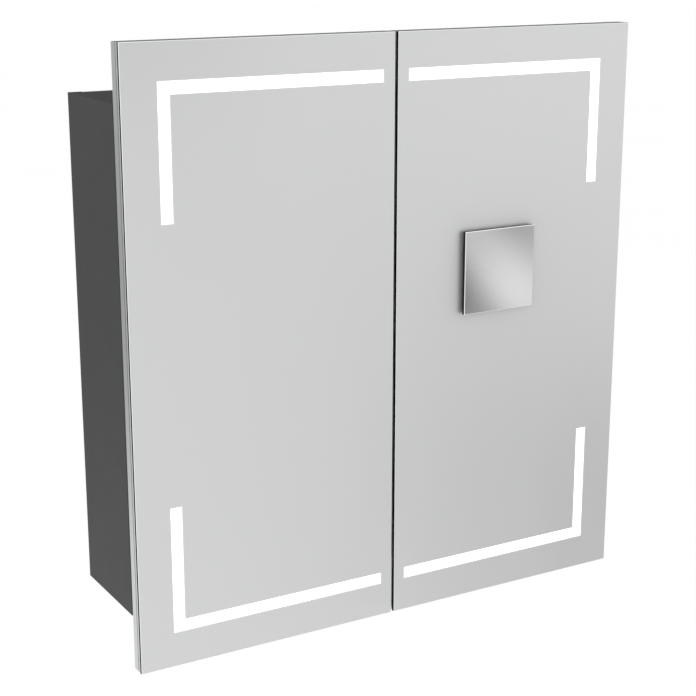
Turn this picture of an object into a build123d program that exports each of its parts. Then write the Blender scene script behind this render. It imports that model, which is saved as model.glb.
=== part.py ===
from build123d import *

import os

# Illuminated two-door mirror cabinet, in millimetres.
# +X right, +Y towards the wall, +Z up. The origin is the centre of the back face.
# Everything on the left is drawn first, and mirrored about X = 0 for the right.

# ---- Driving dimensions ----
CABINET_WIDTH = 662.0
DOOR_HEIGHT = 700.0
DOOR_SEAM = 4.0
BODY_HEIGHT = 573.0
BODY_DEPTH = 131.0
DOOR_GAP = 2.0

# Carcass
PANEL = 16.0
EDGE_ROUND = 0.8
BACK_PANEL = 5.0
RAIL_HEIGHT = 40.0
RAIL_DEPTH = 12.0
WALL_SCREW_SPACING = 520.0
WALL_SCREW_RADIUS = 3.25

# Cam fittings; a row's place is measured from the front or the back of the body
CAM_RADIUS = 7.5
CAM_DEPTH = 12.5
CAM_INSET = 24.0
CAM_FRONT_ROW = 30.0
CAM_REAR_ROW = 35.0
CAM_SLOT_DEPTH = 2.5
CAM_SLOT_WIDTH = 2.4
CAM_SLOT_LENGTH = 10.5
CAM_PIN_RADIUS = 3.0
CAM_PIN_GRIP = 10.0
CAM_PIN_PLAY = 0.5

# Screws, and the play of a hole round a screw, pin or peg
SCREW_RADIUS = 1.7
SCREW_HEAD_RADIUS = 3.4
SCREW_HEAD = 1.8
SCREW_HEAD_ROUND = 1.0
SCREW_GRIP = 10.0
HOLE_PLAY = 0.1

# Shelves and their pegs
SHELF = 5.0
SHELF_HEIGHTS = (50.0, -110.0)
SHELF_DEPTH = 100.0
SHELF_SIDE_PLAY = 2.0
SHELF_REAR_PLAY = 1.5
SHELF_EASE = 0.5
PEG_RADIUS = 2.5
PEG_GRIP = 8.0
PEG_FRONT_ROW = 35.0
PEG_REAR_ROW = 30.0
PEG_COLLAR = 1.5
PEG_COLLAR_RADIUS = 3.9
PEG_COLLAR_DROP = 1.5
PEG_TONGUE = 9.0

# Electrics bay
BAY_HEIGHT = 63.5
BAY_SET_BACK = 16.0
BAY_SHEET = 3.0
BAY_PLAY = 0.4
BAY_SCREW_X = (-285.0, -60.0, 60.0, 285.0)
BAY_SCREW_RISE = 10.0
BAY_SCREW_TIP = 2.0
TAB_WIDTH = 16.0
TAB_RISE = 16.0

GROMMET_RADIUS = 8.0
GROMMET_BORE = 4.5
GROMMET_LIP = 3.0
GROMMET_LIP_RADIUS = 11.0
MAINS_X = 180.0
MAINS_RISE = 34.0
LEAD_X = 262.0

SOCKET_X = -215.0
SOCKET_PLATE = (64.0, 46.0, 3.0)
SOCKET_PLATE_CORNER = 4.0
SOCKET_PLATE_CHAMFER = 1.0
SOCKET_BODY = (54.0, 36.0, 28.0)
SOCKET_RECESS = (42.0, 24.0, 6.0)
SOCKET_PIN_PITCH = 16.6
SOCKET_PIN_RADIUS = 1.9
SOCKET_PIN_DEPTH = 16.0

BUTTON_X = -150.0
BUTTON_RADIUS = 10.0
BUTTON_PROUD = 4.5
BUTTON_REACH = 6.0
BUTTON_ROUND = 1.2
BUTTON_PLAY = 0.3
BUTTON_WALL = 2.4
BEZEL = 2.0
BEZEL_FLANGE = 2.5
BEZEL_CHAMFER = 0.8
BUTTON_WELL = 14.0
BUTTON_HOUSING_DEPTH = 20.0

DRIVER_X = (-20.0, 130.0)
DRIVER_Y = (-86.0, -38.0)
DRIVER_HEIGHT = 30.0
DRIVER_WALL = 2.0
DRIVER_CORNER = 3.0
BOARD = 1.6
BOARD_INSET = 5.0
COIL_X = (20.0, 48.0)
COIL_INSET = 6.0
COIL_HEIGHT = 20.0
CAPACITOR_PLACES = (66.0, 84.0, 102.0)
CAPACITOR_RADIUS = 6.0
CAPACITOR_HEIGHT = 18.0
TERMINAL_X = (152.0, 208.0)
TERMINAL_Y = (-82.0, -64.0)
TERMINAL_HEIGHT = 16.0
CLAMP_PLACES = (12.0, 28.0, 44.0)
CLAMP_RADIUS = 2.0
CLAMP_DEPTH = 8.0

# Door layers, from the front: glass, tape, frame
GLASS = 4.0
GLASS_ARRIS = 0.5
TAPE = 0.8
TAPE_WIDTH = 8.0
TAPE_INSET = 1.6
FRAME_DEPTH = 15.2
FRAME_WIDTH = 12.0
FRAME_LIP = 2.8
FRAME_GROOVE = 1.4
FRAME_GROOVE_DEPTH = 1.0
FRAME_CHAMFER = 0.35
MITRE_OVERRUN = 0.05
DOOR_BACK = 4.0
DOOR_BACK_INSET = 4.0

# Light windows
WINDOW_INSET = 41.2
WINDOW_WIDTH = 14.0
WINDOW_RUN = 273.2
WINDOW_DROP = 149.6
WINDOW_LIP = 3.0
WINDOW_RECESS = 0.3
WINDOW_PLAY = 0.1
LED_BOARD = 1.6
LED_PITCH = 24.0
LED_CHIP = (5.0, 1.0, 2.8)
LEDS_ALONG = 11
LEDS_DOWN = 5

# Door fittings
BUSH_RADIUS = 5.0
BUSH_BORE = 3.0
BUSH_FLANGE = 1.0
BUSH_FLANGE_RADIUS = 7.0
BUFFER_RADIUS = 5.0
BUFFER_INSET = 20.0
BUFFER_CLEARANCE = 0.3

# Hinges
HINGE_HEIGHT = 138.0
HINGE_PIN_INSET = 5.0
HINGE_PIN_DEPTH = 12.5
PIN_RADIUS = 1.5
PIN_CLEARANCE = 0.05
KNUCKLE_RADIUS = 2.4
ARM_THICKNESS = 2.0
ARM_HALF_HEIGHT = 8.0
ARM_LENGTH = 44.0
ARM_BEND = 1.8
PLATE = 2.5
PLATE_WING_DEPTHS = (10.0, 22.0)
PLATE_WING_HALF_HEIGHT = 16.0
PLATE_TAIL_DEPTH = 46.0
PLATE_TAIL_HALF_HEIGHT = 9.0
WING_SCREW = (16.0, 11.5)
ARM_SCREW_DEPTH = 34.0
HOUSING_WALL = 0.8
HOUSING_REACH = 17.0
HOUSING_OUTBOARD = 2.8
HOUSING_END_PLAY = 0.5
HOUSING_FLANGE = 0.8
HOUSING_FLANGE_REACH = 30.0
HOUSING_FLANGE_RISE = 4.0
HOUSING_SCREW_INSET = 25.0
HOUSING_SCREW_RISE = 8.0
HOUSING_SCREW_TIP = 2.0
HOUSING_SCREW_HEAD = 0.6
HOUSING_SCREW_HEAD_RADIUS = 2.9

# Small magnetic mirror
VANITY_SIZE = 100.0
VANITY_CENTRE = (142.6, 65.6)
VANITY_GLASS = 2.2
VANITY_BEVEL = 0.9
VANITY_BACKING = 2.8
VANITY_TRAY_CHAMFER = 0.8
VANITY_PAD = 3.0
VANITY_PAD_SIZE = 78.0
MAGNET_RADIUS = 7.0
MAGNET_OFFSET = 26.0
MAGNET_PLATE = 1.5
MAGNET_PLATE_SIZE = 90.0

# ---- Planes worked out from them ----
HALF_WIDTH = CABINET_WIDTH / 2
DOOR_WIDTH = (CABINET_WIDTH - DOOR_SEAM) / 2
DOOR_INNER = DOOR_SEAM / 2
HALF_DOOR = DOOR_HEIGHT / 2
HALF_BODY = BODY_HEIGHT / 2
INNER_X = HALF_WIDTH - PANEL
INNER_Z = HALF_BODY - PANEL
BODY_FRONT = -BODY_DEPTH
DOOR_REAR = BODY_FRONT - DOOR_GAP
FRAME_FRONT = DOOR_REAR - FRAME_DEPTH
GLASS_REAR = FRAME_FRONT - TAPE
GLASS_FRONT = GLASS_REAR - GLASS
BAY_FLOOR_Z = INNER_Z - BAY_HEIGHT
BAY_FRONT_Y = BODY_FRONT + BAY_SET_BACK
PIN_X = -HALF_WIDTH + HINGE_PIN_INSET
PIN_Y = BODY_FRONT - HINGE_PIN_DEPTH
HINGE_LEVELS = (HINGE_HEIGHT, -HINGE_HEIGHT)
HOUSING_SCREW_X = PIN_X + HOUSING_SCREW_INSET
CAM_ROWS = (BODY_FRONT + CAM_FRONT_ROW, -CAM_REAR_ROW)
PEG_ROWS = (BODY_FRONT + PEG_FRONT_ROW, -PEG_REAR_ROW)
RAIL_TOPS = (BAY_FLOOR_Z, -INNER_Z + RAIL_HEIGHT)
RAIL_FRONT = -BACK_PANEL - RAIL_DEPTH
MAINS_Z = BAY_FLOOR_Z + MAINS_RISE
SOCKET_Z = BAY_FLOOR_Z + BAY_HEIGHT / 2
BAY_SCREW_Z = BAY_FLOOR_Z + BAY_SCREW_RISE
BAY_BASE_Z = BAY_FLOOR_Z + BAY_SHEET
VANITY_TRAY_REAR = GLASS_FRONT - VANITY_PAD
VANITY_GLASS_REAR = VANITY_TRAY_REAR - VANITY_BACKING


def block(x, y, z):
    """A box between the low and high value on each axis."""
    low = [min(span) for span in (x, y, z)]
    high = [max(span) for span in (x, y, z)]
    size = [b - a for a, b in zip(low, high)]
    middle = [(a + b) / 2 for a, b in zip(low, high)]
    return Pos(*middle) * Box(*size)


def rod(axis, span, across, radius):
    """A cylinder along X, Y or Z over span, with its centre line at the two other coordinates."""
    length = abs(span[1] - span[0])
    middle = (span[0] + span[1]) / 2
    cylinder = Cylinder(radius, length)
    if axis == "X":
        return Pos(middle, *across) * Rot(0, 90, 0) * cylinder
    if axis == "Y":
        return Pos(across[0], middle, across[1]) * Rot(90, 0, 0) * cylinder
    return Pos(*across, middle) * cylinder


def solids_of(pieces):
    """Every separate solid in a list of shapes."""
    return [solid for piece in pieces for solid in piece.solids()]


def save(name, *pieces):
    """Write one node as a STEP file, as a single solid or as a group of separate solids."""
    solids = solids_of(pieces)
    shape = solids[0] if len(solids) == 1 else Compound(children=solids)
    export_step(shape, f"parts/{name}.step")


def on_side(side, shape):
    """The left-hand shape as drawn, or its mirror image for the right."""
    return shape if side == "left" else mirror(shape, about=Plane.YZ)


def save_pair(name, *pieces):
    """Write the left node, and the right one as its mirror image."""
    for side in ("left", "right"):
        save(f"{side}_{name}", *[on_side(side, piece) for piece in pieces])


def upside_down(shape):
    """The shape reflected about the mid height."""
    return mirror(shape, about=Plane.XY)


def without(shape, holes):
    """The shape with each hole cut from it."""
    for hole in holes:
        shape -= hole
    return shape


# ---- Carcass ----
def cam_pin_rods(radius):
    """Pins that run from a side panel into the end of the top and bottom panels."""
    span = (-INNER_X - CAM_PIN_GRIP, -INNER_X + CAM_INSET - CAM_RADIUS)
    level = HALF_BODY - PANEL / 2
    return [rod("X", span, (y, z), radius) for y in CAM_ROWS for z in (level, -level)]


def cam_disc(y, radius):
    """A cam that sits in the inner face of the top panel."""
    return rod("Z", (INNER_Z, INNER_Z + CAM_DEPTH), (-INNER_X + CAM_INSET, y), radius)


def peg_rods(radius, span):
    """Four rods for each shelf at the left side panel's rows."""
    levels = [height - PEG_RADIUS for height in SHELF_HEIGHTS]
    return [rod("X", span, (y, z), radius) for y in PEG_ROWS for z in levels]


def hinge_plate_screw_points():
    """Depth and height of each screw in the left side panel."""
    depth, rise = WING_SCREW
    places = ((depth, rise), (depth, -rise), (ARM_SCREW_DEPTH, 0.0))
    return [(BODY_FRONT + y, level + z) for level in HINGE_LEVELS for y, z in places]


def side_panel():
    """Left side panel with its peg, cam pin and hinge screw holes."""
    panel = block((-HALF_WIDTH, -INNER_X), (BODY_FRONT, 0), (-HALF_BODY, HALF_BODY))
    outer = panel.edges().filter_by(Axis.Z).sort_by(Axis.X)[:2]
    panel = fillet(outer, EDGE_ROUND)
    holes = cam_pin_rods(CAM_PIN_RADIUS + HOLE_PLAY)
    holes += peg_rods(PEG_RADIUS + HOLE_PLAY, (-INNER_X - PEG_GRIP, -INNER_X))
    screw_span = (-INNER_X - SCREW_GRIP, -INNER_X)
    holes += [rod("X", screw_span, point, SCREW_RADIUS + HOLE_PLAY) for point in hinge_plate_screw_points()]
    return without(panel, holes)


def top_panel():
    """Top panel, held by cams in its inner face."""
    panel = block((-INNER_X, INNER_X), (BODY_FRONT, -BACK_PANEL), (INNER_Z, HALF_BODY))
    for y in CAM_ROWS:
        disc = cam_disc(y, CAM_RADIUS + HOLE_PLAY)
        panel -= disc
        panel -= mirror(disc, about=Plane.YZ)
    for pin in cam_pin_rods(CAM_PIN_RADIUS + CAM_PIN_PLAY):
        panel -= pin
        panel -= mirror(pin, about=Plane.YZ)
    return panel


def cam_locks():
    """Every cam, with the cross slot that turns it."""
    slot_z = INNER_Z + CAM_SLOT_DEPTH / 2
    cams = []
    for y in CAM_ROWS:
        centre = Pos(-INNER_X + CAM_INSET, y, slot_z)
        cam = cam_disc(y, CAM_RADIUS)
        cam -= centre * Box(CAM_SLOT_LENGTH, CAM_SLOT_WIDTH, CAM_SLOT_DEPTH)
        cam -= centre * Box(CAM_SLOT_WIDTH, CAM_SLOT_LENGTH, CAM_SLOT_DEPTH)
        cams += [cam, mirror(cam, about=Plane.YZ)]
    return cams + [upside_down(cam) for cam in cams]


# ---- Back panel and hanging rails ----
def wall_holes():
    """Holes for the four wall screws, through the rails and the back panel."""
    half = WALL_SCREW_SPACING / 2
    levels = [top - RAIL_HEIGHT / 2 for top in RAIL_TOPS]
    return [rod("Y", (RAIL_FRONT, 0), (x, z), WALL_SCREW_RADIUS) for x in (-half, half) for z in levels]


def back_panel():
    """Back panel, flush with the rear edges of the side panels."""
    panel = block((-INNER_X, INNER_X), (-BACK_PANEL, 0), (-HALF_BODY, HALF_BODY))
    grommet_hole = rod("Y", (-BACK_PANEL, 0), (MAINS_X, MAINS_Z), GROMMET_RADIUS)
    return without(panel, wall_holes() + [grommet_hole])


def hanging_rail(top):
    """One rail, glued to the front of the back panel between the side panels."""
    rail = block((-INNER_X, INNER_X), (RAIL_FRONT, -BACK_PANEL), (top - RAIL_HEIGHT, top))
    return without(rail, wall_holes())


def grommet(centre, front, rear):
    """A ring that fills a hole from front to rear, with a lip on its front side."""
    ring = rod("Y", (front, rear), centre, GROMMET_RADIUS)
    ring += rod("Y", (front - GROMMET_LIP, front), centre, GROMMET_LIP_RADIUS)
    return ring - rod("Y", (front - GROMMET_LIP, rear), centre, GROMMET_BORE)


# ---- Shelves ----
def glass_shelf(height):
    """A glass shelf with eased edges."""
    half = INNER_X - SHELF_SIDE_PLAY
    rear = RAIL_FRONT - SHELF_REAR_PLAY
    shelf = block((-half, half), (rear - SHELF_DEPTH, rear), (height, height + SHELF))
    return chamfer(shelf.edges(), SHELF_EASE)


def shelf_pegs():
    """Pegs with a collar against the side panel and a flat tongue under the glass."""
    pegs = []
    for y in PEG_ROWS:
        for height in SHELF_HEIGHTS:
            z = height - PEG_RADIUS
            peg = rod("X", (-INNER_X - PEG_GRIP, -INNER_X), (y, z), PEG_RADIUS)
            collar = (-INNER_X, -INNER_X + PEG_COLLAR)
            peg += rod("X", collar, (y, z - PEG_COLLAR_DROP), PEG_COLLAR_RADIUS)
            tongue = (-INNER_X, -INNER_X + PEG_TONGUE)
            peg += block(tongue, (y - PEG_RADIUS, y + PEG_RADIUS), (height - PEG_RADIUS, height))
            pegs += [peg, mirror(peg, about=Plane.YZ)]
    return pegs


# ---- Electrics bay ----
def socket_block(size, span):
    """A block centred on the shaver socket, of a width and height, over a span in depth."""
    x = (SOCKET_X - size[0] / 2, SOCKET_X + size[0] / 2)
    z = (SOCKET_Z - size[1] / 2, SOCKET_Z + size[1] / 2)
    return block(x, span, z)


def bay_front():
    """Front plate of the electrics bay, with holes for the socket, button and leads."""
    half = INNER_X - BAY_PLAY
    sheet = (BAY_FRONT_Y, BAY_FRONT_Y + BAY_SHEET)
    plate = block((-half, half), sheet, (BAY_FLOOR_Z, INNER_Z - BAY_PLAY))
    holes = [socket_block(SOCKET_BODY, sheet)]
    holes.append(rod("Y", sheet, (BUTTON_X, SOCKET_Z), BUTTON_RADIUS + BUTTON_PLAY + BUTTON_WALL))
    holes += [rod("Y", sheet, (x, SOCKET_Z), GROMMET_RADIUS) for x in (-LEAD_X, LEAD_X)]
    holes += [rod("Y", sheet, (x, BAY_SCREW_Z), SCREW_RADIUS + HOLE_PLAY) for x in BAY_SCREW_X]
    return without(plate, holes)


def bay_floor():
    """Floor plate of the bay, with upturned tabs that take the front plate's screws."""
    half = INNER_X - BAY_PLAY
    depth = (BAY_FRONT_Y + BAY_SHEET, -BACK_PANEL)
    floor = block((-half, half), depth, (BAY_FLOOR_Z, BAY_BASE_Z))
    tab_y = (depth[0], depth[0] + BAY_SHEET)
    for x in BAY_SCREW_X:
        floor += block((x - TAB_WIDTH / 2, x + TAB_WIDTH / 2), tab_y, (BAY_FLOOR_Z, BAY_FLOOR_Z + TAB_RISE))
        floor -= rod("Y", tab_y, (x, BAY_SCREW_Z), SCREW_RADIUS + HOLE_PLAY)
    return floor


def screw(axis, seat, towards, across):
    """A pan-head screw whose head sits on seat, and whose shank runs to the coordinate towards."""
    sign = 1 if towards > seat else -1
    shank = rod(axis, (seat, towards), across, SCREW_RADIUS)
    head = rod(axis, (seat - sign * SCREW_HEAD, seat), across, SCREW_HEAD_RADIUS)
    rim = head.edges().sort_by(Axis.X if axis == "X" else Axis.Y)
    head = fillet(rim[0] if sign > 0 else rim[-1], SCREW_HEAD_ROUND)
    return head + shank


def shaver_socket():
    """Shaver socket: a face plate, a recess and two round pin holes."""
    face = BAY_FRONT_Y - SOCKET_PLATE[2]
    recess = face + SOCKET_RECESS[2]
    body = socket_block(SOCKET_PLATE, (face, BAY_FRONT_Y))
    body = fillet(body.edges().filter_by(Axis.Y), SOCKET_PLATE_CORNER)
    body = chamfer(body.faces().sort_by(Axis.Y)[0].edges(), SOCKET_PLATE_CHAMFER)
    body += socket_block(SOCKET_BODY, (BAY_FRONT_Y, BAY_FRONT_Y + SOCKET_BODY[2]))
    body -= socket_block(SOCKET_RECESS, (face, recess))
    for shift in (-SOCKET_PIN_PITCH / 2, SOCKET_PIN_PITCH / 2):
        body -= rod("Y", (recess, recess + SOCKET_PIN_DEPTH), (SOCKET_X + shift, SOCKET_Z), SOCKET_PIN_RADIUS)
    return body


def button_housing():
    """Switch body behind the bay front, with a bezel round the button."""
    centre = (BUTTON_X, SOCKET_Z)
    face = BAY_FRONT_Y - BEZEL
    inner = BUTTON_RADIUS + BUTTON_PLAY
    outer = inner + BUTTON_WALL
    housing = rod("Y", (face, BAY_FRONT_Y), centre, outer + BEZEL_FLANGE)
    housing = chamfer(housing.edges().sort_by(Axis.Y)[0], BEZEL_CHAMFER)
    housing += rod("Y", (BAY_FRONT_Y, BAY_FRONT_Y + BUTTON_HOUSING_DEPTH), centre, outer)
    return housing - rod("Y", (face, BAY_FRONT_Y + BUTTON_WELL), centre, inner)


def light_button():
    """Button cap, which travels into its housing."""
    span = (BAY_FRONT_Y - BUTTON_PROUD, BAY_FRONT_Y + BUTTON_REACH)
    cap = rod("Y", span, (BUTTON_X, SOCKET_Z), BUTTON_RADIUS)
    return fillet(cap.edges().sort_by(Axis.Y)[0], BUTTON_ROUND)


def driver_case():
    """Open-topped case of the lamp driver, on the bay floor."""
    top = BAY_BASE_Z + DRIVER_HEIGHT - DRIVER_WALL
    case = block(DRIVER_X, DRIVER_Y, (BAY_BASE_Z, top))
    case = fillet(case.edges().filter_by(Axis.Z), DRIVER_CORNER)
    hollow_x = (DRIVER_X[0] + DRIVER_WALL, DRIVER_X[1] - DRIVER_WALL)
    hollow_y = (DRIVER_Y[0] + DRIVER_WALL, DRIVER_Y[1] - DRIVER_WALL)
    return case - block(hollow_x, hollow_y, (BAY_BASE_Z + DRIVER_WALL, top))


def driver_lid():
    """Lid of the driver case."""
    top = BAY_BASE_Z + DRIVER_HEIGHT
    lid = block(DRIVER_X, DRIVER_Y, (top - DRIVER_WALL, top))
    return fillet(lid.edges().filter_by(Axis.Z), DRIVER_CORNER)


def driver_board():
    """Circuit board and its tallest parts, inside the driver case."""
    z = BAY_BASE_Z + DRIVER_WALL
    x = (DRIVER_X[0] + BOARD_INSET, DRIVER_X[1] - BOARD_INSET)
    y = (DRIVER_Y[0] + BOARD_INSET, DRIVER_Y[1] - BOARD_INSET)
    board = block(x, y, (z, z + BOARD))
    coil_x = (x[0] + COIL_X[0], x[0] + COIL_X[1])
    board += block(coil_x, (y[0] + COIL_INSET, y[1] - COIL_INSET), (z + BOARD, z + COIL_HEIGHT))
    for shift in CAPACITOR_PLACES:
        board += rod("Z", (z + BOARD, z + CAPACITOR_HEIGHT), (x[0] + shift, sum(y) / 2), CAPACITOR_RADIUS)
    return board


def terminal_block():
    """Mains terminal block with three clamp holes a side."""
    top = BAY_BASE_Z + TERMINAL_HEIGHT
    terminal = block(TERMINAL_X, TERMINAL_Y, (BAY_BASE_Z, top))
    for shift in CLAMP_PLACES:
        centre = (TERMINAL_X[0] + shift, sum(TERMINAL_Y) / 2)
        terminal -= rod("Z", (top - CLAMP_DEPTH, top), centre, CLAMP_RADIUS)
    return terminal


# ---- Hinges, left-hand pair ----
def hinge_arm(level):
    """Cranked arm: from the knuckle inwards behind the door, then back along the side panel."""
    bore = PIN_RADIUS + PIN_CLEARANCE
    z = (level - ARM_HALF_HEIGHT, level + ARM_HALF_HEIGHT)
    leg_x = (-INNER_X + PLATE, -INNER_X + PLATE + ARM_THICKNESS)
    half = ARM_THICKNESS / 2
    arm = block((PIN_X, leg_x[1]), (PIN_Y - half, PIN_Y + half), z)
    arm += block(leg_x, (PIN_Y - half, BODY_FRONT + ARM_LENGTH), z)
    corner = arm.edges().filter_by(Axis.Z).sort_by_distance(Vector(leg_x[1], PIN_Y - half, level))[0]
    arm = fillet(corner, ARM_BEND)
    arm += rod("Z", z, (PIN_X, PIN_Y), KNUCKLE_RADIUS)
    arm -= rod("Z", z, (PIN_X, PIN_Y), bore)
    return arm - rod("X", leg_x, (BODY_FRONT + ARM_SCREW_DEPTH, level), SCREW_RADIUS + HOLE_PLAY)


def hinge_plate(level):
    """Mounting plate between the arm and the side panel."""
    x = (-INNER_X, -INNER_X + PLATE)
    wing_y = [BODY_FRONT + depth for depth in PLATE_WING_DEPTHS]
    tail_y = (wing_y[1], BODY_FRONT + PLATE_TAIL_DEPTH)
    plate = block(x, tail_y, (level - PLATE_TAIL_HALF_HEIGHT, level + PLATE_TAIL_HALF_HEIGHT))
    plate += block(x, wing_y, (level - PLATE_WING_HALF_HEIGHT, level + PLATE_WING_HALF_HEIGHT))
    holes = [rod("X", x, point, SCREW_RADIUS + HOLE_PLAY) for point in hinge_plate_screw_points()]
    return without(plate, holes)


def hinge_screws():
    """Screws through the plates and arms into the left side panel."""
    screws = []
    end = -INNER_X - SCREW_GRIP + 1.0
    for y, z in hinge_plate_screw_points():
        through_arm = y == BODY_FRONT + ARM_SCREW_DEPTH
        seat = -INNER_X + PLATE + (ARM_THICKNESS if through_arm else 0.0)
        screws.append(screw("X", seat, end, (y, z)))
    return screws


def housing_outer(level):
    """Space that a hinge housing takes in the door, and that the frame and back panel leave."""
    x = (PIN_X - HOUSING_OUTBOARD - HOUSING_WALL, PIN_X + HOUSING_REACH + HOUSING_WALL)
    half = ARM_HALF_HEIGHT + HOUSING_END_PLAY + HOUSING_WALL
    return block(x, (FRAME_FRONT, DOOR_REAR), (level - half, level + half))


def hinge_housing(level):
    """Pressed housing that lines the door pocket, with a flange on the back panel."""
    inner_x = PIN_X - HOUSING_OUTBOARD
    half = ARM_HALF_HEIGHT + HOUSING_END_PLAY
    flange_half = half + HOUSING_FLANGE_RISE
    flange_y = (DOOR_REAR, DOOR_REAR + HOUSING_FLANGE)
    pocket_y = (FRAME_FRONT + HOUSING_WALL, flange_y[1])
    housing = housing_outer(level)
    flange_z = (level - flange_half, level + flange_half)
    housing += block((inner_x, PIN_X + HOUSING_FLANGE_REACH), flange_y, flange_z)
    housing -= block((inner_x, PIN_X + HOUSING_REACH), pocket_y, (level - half, level + half))
    return without(housing, [hinge_pin(level)] + housing_screw_rods(flange_y, SCREW_RADIUS + HOLE_PLAY))


def hinge_pin(level):
    """Hinge pin, held at both ends by the housing."""
    half = ARM_HALF_HEIGHT + HOUSING_END_PLAY + HOUSING_WALL
    return rod("Z", (level - half, level + half), (PIN_X, PIN_Y), PIN_RADIUS)


def housing_screw_rods(span, radius):
    """Rods at the housing screws' places."""
    return [rod("Y", span, (HOUSING_SCREW_X, level + rise), radius)
            for level in HINGE_LEVELS for rise in (-HOUSING_SCREW_RISE, HOUSING_SCREW_RISE)]


def housing_screws():
    """Thin-headed screws that hold the housing's flange to the door."""
    rear = DOOR_REAR + HOUSING_FLANGE
    shanks = housing_screw_rods((DOOR_REAR - DOOR_BACK - HOUSING_SCREW_TIP, rear), SCREW_RADIUS)
    heads = housing_screw_rods((rear, rear + HOUSING_SCREW_HEAD), HOUSING_SCREW_HEAD_RADIUS)
    return [shank + head for shank, head in zip(shanks, heads)]


# ---- Doors, left-hand door ----
def window_bar(grow, depth):
    """L-shaped bar at the door's top outer corner, grown on every side, over a span in depth."""
    x = -HALF_WIDTH + WINDOW_INSET - grow
    z = HALF_DOOR - WINDOW_INSET + grow
    width = WINDOW_WIDTH + 2 * grow
    along = block((x, x + WINDOW_RUN + 2 * grow), depth, (z - width, z))
    down = block((x, x + width), depth, (z - WINDOW_DROP - 2 * grow, z))
    return along + down


def window_lens():
    """Opal lens: its face fills the slot in the glass, and its lip lies behind the glass."""
    return window_bar(-WINDOW_PLAY, (GLASS_FRONT + WINDOW_RECESS, GLASS_REAR)) + window_bar(
        WINDOW_LIP, (GLASS_REAR, GLASS_REAR + TAPE))


def led_board():
    """L-shaped lamp board on the door's back panel, with a row of lamp chips on each arm."""
    rear = DOOR_REAR - DOOR_BACK
    board = window_bar(0.0, (rear - LED_BOARD, rear))
    chip_y = rear - LED_BOARD - LED_CHIP[1] / 2
    corner_x = -HALF_WIDTH + WINDOW_INSET + WINDOW_WIDTH / 2
    corner_z = HALF_DOOR - WINDOW_INSET - WINDOW_WIDTH / 2
    along = [(corner_x + LED_PITCH * step, corner_z) for step in range(LEDS_ALONG)]
    down = [(corner_x, corner_z - LED_PITCH * step) for step in range(1, LEDS_DOWN + 1)]
    for x, z in along + down:
        board += Pos(x, chip_y, z) * Box(*LED_CHIP)
    return board


def door_glass():
    """Mirror glass with an arris round its front edge and a slot for each lens."""
    pane = block((-HALF_WIDTH, -DOOR_INNER), (GLASS_FRONT, GLASS_REAR), (-HALF_DOOR, HALF_DOOR))
    pane = chamfer(pane.faces().sort_by(Axis.Y)[0].edges(), GLASS_ARRIS)
    slot = window_bar(0.0, (GLASS_FRONT, GLASS_REAR))
    return pane - slot - upside_down(slot)


def mounting_tape():
    """Four strips of foam tape between the glass and the frame."""
    x = (-HALF_WIDTH + TAPE_INSET, -DOOR_INNER - TAPE_INSET)
    y = (GLASS_REAR, FRAME_FRONT)
    z = HALF_DOOR - TAPE_INSET
    uprights = [block((x[0], x[0] + TAPE_WIDTH), y, (-z, z)), block((x[1] - TAPE_WIDTH, x[1]), y, (-z, z))]
    inner = (x[0] + TAPE_WIDTH, x[1] - TAPE_WIDTH)
    return uprights + [block(inner, y, (z - TAPE_WIDTH, z)), block(inner, y, (-z, TAPE_WIDTH - z))]


def shadow_groove(x):
    """Shallow groove round the frame's outer faces, behind its front lip."""
    y = (FRAME_FRONT + FRAME_LIP, FRAME_FRONT + FRAME_LIP + FRAME_GROOVE)
    floor_x = (x[0] + FRAME_GROOVE_DEPTH, x[1] - FRAME_GROOVE_DEPTH)
    floor_z = HALF_DOOR - FRAME_GROOVE_DEPTH
    return block(x, y, (-HALF_DOOR, HALF_DOOR)) - block(floor_x, y, (-floor_z, floor_z))


def frame_bars():
    """The frame's two stiles and two rails, mitred at the corners and rebated for the back panel."""
    x = (-HALF_WIDTH, -DOOR_INNER)
    y = (FRAME_FRONT, DOOR_REAR)
    ring = block(x, y, (-HALF_DOOR, HALF_DOOR))
    ring = chamfer(ring.faces().filter_by(Axis.Y).edges(), FRAME_CHAMFER)
    ring -= shadow_groove(x)
    ring -= block((x[0] + FRAME_WIDTH, x[1] - FRAME_WIDTH), y,
                  (-HALF_DOOR + FRAME_WIDTH, HALF_DOOR - FRAME_WIDTH))
    ring -= door_back_blank()
    middle_x = sum(x) / 2
    half_width = DOOR_WIDTH / 2
    crown = half_width + MITRE_OVERRUN
    top_wedge = Polyline((x[0] - crown, HALF_DOOR + crown), (middle_x, HALF_DOOR - half_width),
                         (x[1] + crown, HALF_DOOR + crown), close=True)
    wedge = extrude(Plane.XZ * make_face(top_wedge), amount=-y[0], dir=(0, -1, 0))
    wedge = wedge & block((x[0], x[1]), y, (HALF_DOOR - FRAME_WIDTH, HALF_DOOR))
    top_rail = ring & wedge
    rails = [top_rail, upside_down(top_rail)]
    stiles = ring - wedge - upside_down(wedge)
    return without(stiles, [housing_outer(level) for level in HINGE_LEVELS]), rails


def door_back_blank():
    """Outline of the door's back panel."""
    x = (-HALF_WIDTH + DOOR_BACK_INSET, -DOOR_INNER - DOOR_BACK_INSET)
    z = HALF_DOOR - DOOR_BACK_INSET
    return block(x, (DOOR_REAR - DOOR_BACK, DOOR_REAR), (-z, z))


def door_back():
    """Back panel of the door, with hinge pockets, screw holes and a hole for the lamp lead."""
    depth = (DOOR_REAR - DOOR_BACK, DOOR_REAR)
    holes = [housing_outer(level) for level in HINGE_LEVELS]
    holes += housing_screw_rods(depth, SCREW_RADIUS + HOLE_PLAY)
    holes.append(rod("Y", depth, (-LEAD_X, SOCKET_Z), BUSH_RADIUS))
    return without(door_back_blank(), holes)


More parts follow.
